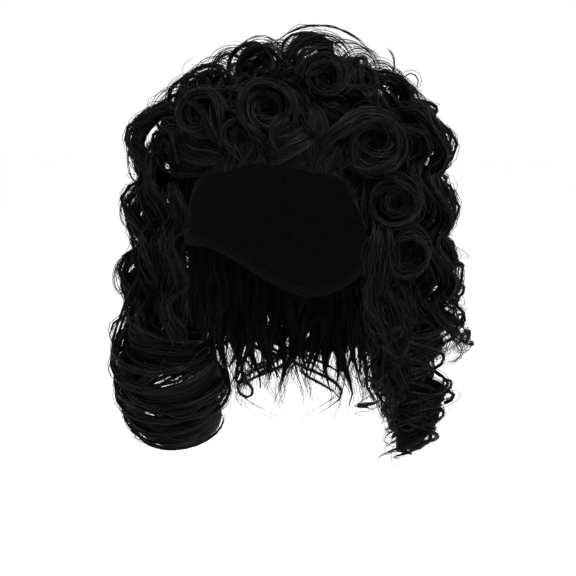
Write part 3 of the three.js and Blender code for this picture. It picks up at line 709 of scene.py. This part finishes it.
def add_strands(tubes, rng, line, count, half_wide, half_thick, segment, wander, tips, thin=STRAND_RADIUS):
    """Strands round a line, within half_wide and half_thick of it. tips: range of their lengths."""
    stations = max(LEAST_STATIONS, int(line.length * np.mean(tips) / segment) + 1)
    share = rng.uniform(*tips, (count, 1)) * np.linspace(0, 1, stations)
    points, wide, thick = line.sample(share)
    along = share * line.length
    full = fullness(along, line.length, STRAND_ROOT, STRAND_END)

    def spread(half):
        drawn = rng.normal(0, STRAND_SPREAD, (count, 1))
        return np.clip(drawn, -STRAND_SPREAD_MAX, STRAND_SPREAD_MAX) * half * full

    a, b = spread(half_wide), spread(half_thick)
    grow = wander * smooth(along, 0, WANDER_FROM)
    a = a + grow * wandering(rng, count, along)
    b = b + grow * wandering(rng, count, along)
    points = points + wide * a[..., None] + thick * b[..., None]
    taper = 1 - (1 - STRAND_TIP) * smooth(np.linspace(0, 1, stations), STRAND_TIP_FROM, 1)
    radius = thin * rng.uniform(*STRAND_THICKNESS, (count, 1)) * taper
    turn, streaks = rng.uniform(0, TURN_RANGE, count), rng.uniform(0, STREAK_SEEDS, count)
    tubes.add(points, wide, radius, radius, STRAND_SIDES, turn, streaks, 0.0)


def add_core(tubes, rng, line, half_wide, half_thick, sides, segment, tip, taper=TAPER):
    """The closed body of a lock or wisp, beneath its strands, dark with painted shade."""
    end = line.length * tip
    stations = max(LEAST_STATIONS, int(end / segment) + 1)
    share = np.linspace(0, tip, stations)[None]
    points, wide, _ = line.sample(share)
    along = share * line.length
    full = fullness(along, end, CORE_ROOT, CORE_END, taper)
    half_round = 2 * half_wide + half_thick
    streaks = rng.uniform(0, STREAK_SEEDS, 1)
    tubes.add(
        points, wide, half_wide * full, half_thick * full, sides, np.zeros(1), streaks, half_round, PAINTED_SHADE
    )


def outer_side(lock, line):
    """1 if the line's thick way points out of the lock's turns or off the head, else -1."""
    outward = line.points
    if lock["kind"] == "ringlet":
        outward = -np.gradient(np.gradient(line.points, axis=0), axis=0)
    return 1 if np.sum(line.thick * outward) > 0 else -1


def wisp_line(lock, rng, style, mess, place):
    """One wisp's own line: a looser copy of its lock's, set to one side of the ribbon."""
    loose = style["loose"] * mess
    line = LINE_MAKERS[lock["kind"]](lock, rng, loose)
    share = line.at / line.length

    def sway(size, waves):
        return size * loose * np.sin(TURN * (waves * share + rng.uniform()))

    half = lock.get("cover", 1.0) * lock["width"] / 2
    a = place * half + sway(*SWAY_ACROSS)
    b = outer_side(lock, line) * rng.uniform(style["inner"], style["outer"]) * lock["thick"] / 2
    b = b + sway(*SWAY_THROUGH)
    closing = lock.get("closing") or (style["end"], TAPER)
    full = fullness(line.at, line.length, WISP_ROOT, *closing)
    points = line.points + line.wide * (a * full)[:, None] + line.thick * (b * full)[:, None]
    end = len(points)
    if style["short"] < 1:
        end = np.searchsorted(share, rng.uniform(style["short"], 1.0))
    return Line(points[:end], line.wide[:end])


def add_wisp(tubes, rng, line, strands, segment, wander):
    """A thin body, dark with painted shade, with strands on it, and one that strays from it."""
    half = rng.uniform(*WISP_HALF)
    tip = rng.uniform(*WISP_TIPS)
    add_core(tubes, rng, line, WISP_WIDE * half, WISP_THICK * half, WISP_SIDES, WISP_STEP * segment, tip)
    add_strands(tubes, rng, line, strands, half, half, segment, wander, WISP_STRAND_TIPS)
    far = STRAY_SPREAD * half
    add_strands(tubes, rng, line, 1, far, far, segment, STRAY_WANDER + wander, STRAY_TIPS)


def add_lock(tubes, lock, group, index):
    """One lock: a body dark with painted shade, and wisps across and through its ribbon. Returns the wisps'
    lines.
    """
    rng = stream(LOCK_STREAM, index)
    style = STYLES[lock["kind"]]
    segment = group["segment"] * style["step"]
    body = LINE_MAKERS[lock["kind"]](lock, rng, 0.0)
    cover = lock.get("cover", 1.0)
    half_wide, half_thick = BODY_WIDE * cover * lock["width"], BODY_THICK * lock["thick"]
    tip = lock.get("tip", BODY_TIP)
    add_core(tubes, rng, body, half_wide, half_thick, CORE_SIDES, BODY_STEP * segment, tip)
    wisps = round(style["wisps"] * group["fullness"] * cover * lock["width"])
    lines = []
    for place in np.linspace(-1, 1, wisps):
        lines.append(wisp_line(lock, rng, style, group["mess"], place))
        add_wisp(tubes, rng, lines[-1], style["strands"], segment, style["wander"])
    return lines


def add_curls(tubes, group, index):
    """Small curls on the cap between the locks, each turned its own way. Returns their wisps' lines."""
    rng = stream(CURL_STREAM, index)
    style = STYLES["roll"]
    on_crown = group["name"] == CROWN
    low, high = (CROWN_FROM, CURL_HIGH) if on_crown else (CURL_LOW, CROWN_FROM)
    lines = []
    for i in range(group["curls"]):
        az = blend(group["az_from"], group["az_to"], (i + rng.uniform(*CURL_AZ)) / group["curls"])
        el = blend(low, high, (i * GOLDEN + rng.uniform(*CURL_EL)) % 1.0)
        axis = unit(head_normal(az, el) + CURL_TILT * unit(rng.normal(0, 1, 3)))
        radius = rng.uniform(*CURL_RADII)
        middle = head_point(az, el, rng.uniform(*CURL_OUT))
        lock = dict(
            kind="roll", root_az=az, root_el=el,
            axis_from=middle, axis_to=middle - axis * CURL_DEPTH, zero=unit(rng.normal(0, 1, 3)),
            radius_from=radius, radius_to=CURL_INNER * radius, bulge=0,
            turns=rng.choice((-1, 1)) * rng.uniform(*CURL_TURNS), width=CURL_WIDTH, thick=CURL_THICK,
        )
        for place in CURL_PLACES:
            lines.append(wisp_line(lock, rng, style, group["mess"], place))
            add_wisp(tubes, rng, lines[-1], CURL_STRANDS, group["segment"], style["wander"])
    return lines


def add_ends(tubes, group, index, lines):
    """Small loose curls round the locks' ends."""
    rng = stream(END_STREAM, index)
    t = np.linspace(0, 1, END_POINTS)[:, None]
    low = [line for line in lines if line.points[-1, 2] < ENDS_BELOW]
    for _ in range(group["ends"]):
        line = low[rng.integers(len(low))]
        start, _, _ = line.sample(np.array(rng.uniform(*END_PLACES)))
        axis = unit(rng.normal(0, 1, 3) - END_DROOP * UP)
        across = square_to(rng.normal(0, 1, 3), axis)
        beyond = np.cross(axis, across)
        radius = rng.uniform(*END_RADII) * (1 - END_CLOSING * t)
        angle = TURN * rng.uniform(*END_TURNS) * t
        round_axis = radius * (np.cos(angle) * across + np.sin(angle) * beyond)
        points = axis * rng.uniform(*END_REACH) * t + round_axis
        points = start + points - points[0]
        if strays(points):
            continue
        curl = Line(points, np.broadcast_to(axis, points.shape))
        add_wisp(tubes, rng, curl, *END_WISP)


def add_frizz(tubes, group, index, lines):
    """Single hairs that stand off the locks in small arcs."""
    rng = stream(FRIZZ_STREAM, index)
    t = np.linspace(0, 1, FRIZZ_POINTS)[:, None]
    for _ in range(group["frizz"]):
        line = lines[rng.integers(len(lines))]
        start, _, _ = line.sample(np.array(rng.uniform(*FRIZZ_PLACES)))
        ahead = unit(rng.normal(0, 1, 3))
        away = unit(unit(start * (1, 1, FRIZZ_RISE)) + FRIZZ_TURN * rng.normal(0, 1, 3))
        away = square_to(away, ahead)
        radius = rng.uniform(*FRIZZ_RADII)
        sweep = rng.uniform(*FRIZZ_SWEEP) * t
        lift = rng.uniform(*FRIZZ_LIFT)
        points = start + radius * (np.sin(sweep) * ahead + lift * (1 - np.cos(sweep)) * away)
        if out_of(points).min() < FRIZZ_CLEAR or strays(points):
            continue
        arc = Line(points, np.broadcast_to(np.cross(ahead, away), points.shape))
        add_strands(tubes, rng, arc, *FRIZZ_HAIR)


def add_arcs(tubes, group, index):
    """Loose loops at the edges."""
    rng = stream(ARC_STREAM, index)
    facing = direction(CAMERA_AZ, 0)
    right = np.cross(UP, facing)
    t = np.linspace(0, 1, ARC_POINTS)
    for row in ARCS.get(group["name"], ()):
        arc = dict(zip(ARC_COLUMNS, row))
        angle = np.radians(arc["start"] + arc["sweep"] * t)
        radius = arc["radius"] * (1 + (arc["end"] - 1) * t)
        points = (
            right * (arc["right"] + radius * np.cos(angle))[:, None]
            + UP * (arc["up"] + arc["tall"] * radius * np.sin(angle))[:, None]
            + facing * (arc["depth"] - ARC_SLANT * t)[:, None]
        )
        line = Line(points, np.broadcast_to(facing, points.shape))
        add_strands(tubes, rng, line, arc["strands"], arc["spread"], arc["spread"], *ARC_HAIR)


def front_bed(rng, az, edge, lift, t):
    """Root hair combed up from the forehead and aside from the parting: azimuth, elevation and height."""
    first = edge - HAIRLINE_OVERHANG * rng.uniform(0, 1, az.shape)
    el = blend(first, FRONT_TOP, t**FRONT_LAG)
    aside = np.tanh((az - FRONT_PARTING) / FRONT_COMB_BREADTH)
    az = az + FRONT_COMB * aside * t * (1 - FRONT_RETURN * t)
    az = az + FRONT_WAVE * np.sin(TURN * (FRONT_WAVES * t + lift)) * t
    return az, el, FRONT_OUT + (FRONT_RISE + FRONT_LIFT * lift) * smooth(t, 0, FRONT_RISE_TO)


def crown_bed(az, lift, t):
    """Root hair that runs down from the top of the head."""
    el = blend(CROWN_TOP, CROWN_FOOT, t) + 0 * az
    out = CROWN_OUT + CROWN_LIFT * lift + CROWN_WAVE * np.sin(TURN * (CROWN_WAVES * t + lift))
    return az + CROWN_TWIST * t * np.sin(TURN * lift), el, out


def side_bed(az, edge, lift, t):
    """Root hair that runs down from the crown to the cap's edge."""
    el = blend(CROWN_FROM, edge, t)
    out = SIDE_OUT + SIDE_LIFT * lift + SIDE_WAVE * np.sin(TURN * (SIDE_WAVES * t + 2 * lift))
    return az + SIDE_SWAY * np.sin(TURN * (SIDE_SWAYS * t + lift)) * t, el, out


def add_bed(tubes, group, index):
    """Hair that lies on the cap between the locks, and bodies beneath it, dark with painted shade."""
    rng = stream(BED_STREAM, index)
    t = np.linspace(0, 1, BED_STATIONS)[None]
    hairs = (group["bed"], BED_GAP, STRAND_RADIUS, 1.0, STRAND_SIDES, 0.0, 0)
    bodies = (BED_BODIES, BODY_GAP, BED_BODY_HALF, BED_BODY_THIN, BED_BODY_SIDES, BED_BODY_STREAKS, PAINTED_SHADE)
    for number, gap, half, thin, sides, v_span, under in (hairs, bodies):
        az = rng.uniform(group["az_from"] + gap, group["az_to"] - gap, (number, 1))
        edge = edge_elevation(az)
        lift = rng.uniform(0, 1, (number, 1))
        if group["name"] == FRONT:
            az, el, out = front_bed(rng, az, edge, lift, t)
        elif group["name"] == CROWN:
            az, el, out = crown_bed(az, lift, t)
        else:
            az, el, out = side_bed(az, edge, lift, t)
        if under:
            out = BED_BODY_OUT * out + BED_BODY_LIFT
        points = head_point(az, el, out)
        points = points + rng.normal(0, BED_ROUGH, points.shape)
        wide = np.cross(unit(points), unit(np.gradient(points, axis=1)))
        taper = np.broadcast_to(1 - BED_TIP * smooth(t, BED_TIP_FROM, 1), (number, BED_STATIONS))
        streaks = rng.uniform(0, STREAK_SEEDS, number)
        tubes.add(
            points, wide, half * taper, thin * half * taper, sides, np.zeros(number), streaks, v_span, under
        )


def add_hang(tubes, group, index):
    """Straighter underlayer that hangs on below the cap, behind the locks."""
    if group["hang_from"] is None:
        return
    rng = stream(HANG_STREAM, index)
    t = np.linspace(0, 1, HANG_POINTS)
    for az in np.arange(group["hang_from"] + HANG_INSET, group["hang_to"], HANG_STEP):
        z = blend(HANG_TOP, HANG_END + rng.uniform(*HANG_ENDS), t)
        swing = HANG_SWAY + HANG_SWAY * t + HANG_SWAY * smooth(t, HANG_CURL_FROM, 1)
        sway = az + swing * np.sin(TURN * (HANG_SWAYS * t + rng.uniform()))
        wave = HANG_WAVE + HANG_WAVE_GROWS * t
        out = HANG_OUT + wave * np.sin(TURN * (HANG_WAVES * t + rng.uniform())) + rng.uniform(-1, 1)
        points = beside_point(sway, out, z)
        line = Line(points, np.cross(UP, unit(points * (1, 1, 0))))
        add_core(tubes, rng, line, *HANG_BODY, rng.uniform(*HANG_TIPS), HANG_TAPER)
        add_strands(tubes, rng, line, *HANG_HAIR)


def plain_material(name):
    """A new material, its node tree and its shader."""
    material = bpy.data.materials.new(name)
    material.use_nodes = True
    return material, material.node_tree, material.node_tree.nodes["Principled BSDF"]


def add_tone(tree, shader, height, stops):
    """Base colour by a pattern. stops: two places on its scale, each with a colour."""
    tone = tree.nodes.new("ShaderNodeValToRGB")
    for element, (position, color) in zip(tone.color_ramp.elements, stops):
        element.position = position
        element.color = (*color, 1)
    tree.links.new(height, tone.inputs["Fac"])
    tree.links.new(tone.outputs["Color"], shader.inputs["Base Color"])


def add_bump(tree, shader, height, strength, distance):
    bump = tree.nodes.new("ShaderNodeBump")
    bump.inputs["Strength"].default_value = strength
    bump.inputs["Distance"].default_value = distance
    tree.links.new(height, bump.inputs["Height"])
    tree.links.new(bump.outputs["Normal"], shader.inputs["Normal"])


HAIR_TINT = (1.0, 0.95, 0.92)
HAIR_DARK_AT, HAIR_LIGHT_AT = 0.42, 0.70  # on the streaks' scale
HAIR_ROUGHER, HAIR_SMOOTHER = 0.12, 0.08  # dark and light streaks
HAIR_DETAIL = 3.0
HAIR_BUMP = (0.9, 0.0012)  # strength and distance


def hair_material(name, dark, light, across, roughness, shine):
    """Fibre: darker and lighter along and across the strands. dark, light: its range of grey. across: streaks
    in each millimetre."""
    material, tree, shader = plain_material(name)
    shader.inputs["Specular IOR Level"].default_value = shine
    coords = tree.nodes.new("ShaderNodeUVMap")
    coords.uv_map = "UVMap"
    stretch = tree.nodes.new("ShaderNodeMapping")
    stretch.inputs["Scale"].default_value = (1.0, across, 1.0)
    tree.links.new(coords.outputs["UV"], stretch.inputs["Vector"])
    streaks = tree.nodes.new("ShaderNodeTexNoise")
    streaks.inputs["Scale"].default_value = 1.0
    streaks.inputs["Detail"].default_value = HAIR_DETAIL
    tree.links.new(stretch.outputs["Vector"], streaks.inputs["Vector"])
    places = ((HAIR_DARK_AT, dark), (HAIR_LIGHT_AT, light))
    stops = [(position, [grey * tint for tint in HAIR_TINT]) for position, grey in places]
    add_tone(tree, shader, streaks.outputs["Fac"], stops)
    rough = tree.nodes.new("ShaderNodeMapRange")
    rough.inputs["To Min"].default_value = roughness + HAIR_ROUGHER
    rough.inputs["To Max"].default_value = roughness - HAIR_SMOOTHER
    tree.links.new(streaks.outputs["Fac"], rough.inputs["Value"])
    tree.links.new(rough.outputs["Result"], shader.inputs["Roughness"])
    add_bump(tree, shader, streaks.outputs["Fac"], *HAIR_BUMP)
    return material


KNIT_LIGHT, KNIT_DARK = (0.0060, 0.0057, 0.0057), (0.0014, 0.0014, 0.0014)
KNIT_SCALE = 620.0
KNIT_ROUGHNESS, KNIT_SHINE = 0.9, 0.06
KNIT_BUMP = (0.8, 0.0010)  # strength and distance


def cap_material():
    """Dull black stretch knit."""
    material, tree, shader = plain_material("black_knit")
    shader.inputs["Roughness"].default_value = KNIT_ROUGHNESS
    shader.inputs["Specular IOR Level"].default_value = KNIT_SHINE
    coords = tree.nodes.new("ShaderNodeTexCoord")
    knit = tree.nodes.new("ShaderNodeTexVoronoi")
    knit.inputs["Scale"].default_value = KNIT_SCALE
    tree.links.new(coords.outputs["Object"], knit.inputs["Vector"])
    add_tone(tree, shader, knit.outputs["Distance"], ((0.0, KNIT_LIGHT), (1.0, KNIT_DARK)))
    add_bump(tree, shader, knit.outputs["Distance"], *KNIT_BUMP)
    return material


def cap_object(material):
    """The cap as a thin dome, closed at its edge and over the top."""
    az = np.linspace(0, 360, CAP_COLUMNS, endpoint=False)
    share = np.linspace(0, 1, CAP_ROWS + 1)[:-1]
    el = blend(edge_elevation(az)[:, None], 90, share)
    inner = head_point(az[:, None], el, CAP_INSIDE + 0 * el)
    outer = head_point(az[:, None], el, CAP_WALL + 0 * el)
    poles = head_point(np.zeros(2), np.full(2, 90.0), np.array((CAP_INSIDE, CAP_WALL)))
    verts = np.vstack((inner.reshape(-1, 3), outer.reshape(-1, 3), poles)) * MM
    layer = CAP_COLUMNS * CAP_ROWS
    grid = np.arange(layer).reshape(CAP_COLUMNS, CAP_ROWS)
    beyond = np.roll(grid, -1, axis=0)
    faces = []
    for i in range(CAP_COLUMNS):
        for j in range(CAP_ROWS - 1):
            a, b, c, d = grid[i, j], beyond[i, j], beyond[i, j + 1], grid[i, j + 1]
            faces.append((a, d, c, b))
            faces.append((a + layer, b + layer, c + layer, d + layer))
        faces.append((grid[i, 0], beyond[i, 0], beyond[i, 0] + layer, grid[i, 0] + layer))
        faces.append((grid[i, -1], 2 * layer, beyond[i, -1]))
        faces.append((grid[i, -1] + layer, beyond[i, -1] + layer, 2 * layer + 1))
    mesh = bpy.data.meshes.new("cap_cloth")
    mesh.from_pydata([tuple(v) for v in verts], [], [tuple(int(k) for k in face) for face in faces])
    mesh.shade_smooth()
    mesh.materials.append(material)
    return scene_object("cap_cloth", mesh)


# Hair of the strands, and the hair beneath, darker and duller as painted shade: range of grey, streaks,
# roughness and shine.
HAIR = (
    hair_material("black_fibre", 0.0008, 0.0070, 2.0, 0.28, 0.06),
    hair_material("dark_underhair", 0.0004, 0.0036, 0.8, 0.55, 0.02),
)
for group_index, row in enumerate(GROUPS):
    group = dict(zip(GROUP_COLUMNS, row))
    tubes = Tubes()
    rolled, hanging = [], []
    for lock_index, lock in enumerate(LOCKS):
        if lock["group"] == group["name"]:
            lines = hanging if lock["kind"] in ("ringlet", "wave") else rolled
            lines += add_lock(tubes, lock, group, lock_index)
    rolled += add_curls(tubes, group, group_index)
    add_ends(tubes, group, group_index, hanging)
    add_frizz(tubes, group, group_index, rolled + hanging)
    add_arcs(tubes, group, group_index)
    add_bed(tubes, group, group_index)
    add_hang(tubes, group, group_index)
    piece = tubes.mesh_object(group["name"] + "_strands", HAIR)
    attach(piece, "root")
    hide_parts(group["name"])

cap = cap_object(cap_material())
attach(cap, "root")
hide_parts("wig_cap")

# Studio: pale floor, white surround and soft lights from the front.
FLOOR_Z, FLOOR_HALF = -0.30, 60
FLOOR_ROUGHNESS = 0.9
WHITE = (1, 1, 1, 1)
CORNERS = ((-1, -1), (1, -1), (1, 1), (-1, 1))
floor_mesh = bpy.data.meshes.new("floor")
floor_corners = [(x * FLOOR_HALF, y * FLOOR_HALF, FLOOR_Z) for x, y in CORNERS]
floor_mesh.from_pydata(floor_corners, [], [(0, 1, 2, 3)])
floor = scene_object("floor", floor_mesh)
floor_material, _, floor_shader = plain_material("pale_floor")
floor_shader.inputs["Base Color"].default_value = WHITE
floor_shader.inputs["Roughness"].default_value = FLOOR_ROUGHNESS
floor_mesh.materials.append(floor_material)

world = bpy.data.worlds.new("white_surround")
world.use_nodes = True
world.node_tree.nodes["Background"].inputs["Color"].default_value = WHITE
world.node_tree.nodes["Background"].inputs["Strength"].default_value = 1.0
bpy.context.scene.world = world
bpy.context.scene.view_settings.view_transform = "Standard"

# Softboxes: azimuth, elevation, distance, size and power.
SOFTBOXES = (
    (-34, 34, 1.6, 0.5, 8),
    (46, 32, 1.6, 0.5, 40),
    (8, 66, 1.6, 0.5, 26),
)
for number, (az, el, distance, size, power) in enumerate(SOFTBOXES):
    lamp = bpy.data.lights.new(f"softbox_{number}", "AREA")
    lamp.size = size
    lamp.energy = power
    box = scene_object(f"softbox_{number}", lamp)
    box.location = Vector(direction(az, el) * distance)
    box.rotation_euler = Vector(direction(az, el)).to_track_quat("Z", "Y").to_euler()

# Camera at the photograph's angle. The head's middle is above the picture's middle by AIM_DROP.
PICTURE_WIDTH = 0.4205
AIM_DROP = 0.051
camera_data = bpy.data.cameras.new("camera")
camera_data.angle = 2 * math.atan(PICTURE_WIDTH / 2 / CAMERA_DISTANCE)
camera = scene_object("camera", camera_data)
back = Vector(direction(CAMERA_AZ, CAMERA_EL))
camera.location = Vector((0, 0, -AIM_DROP)) + back * CAMERA_DISTANCE
camera.rotation_euler = back.to_track_quat("Z", "Y").to_euler()
bpy.context.scene.camera = camera
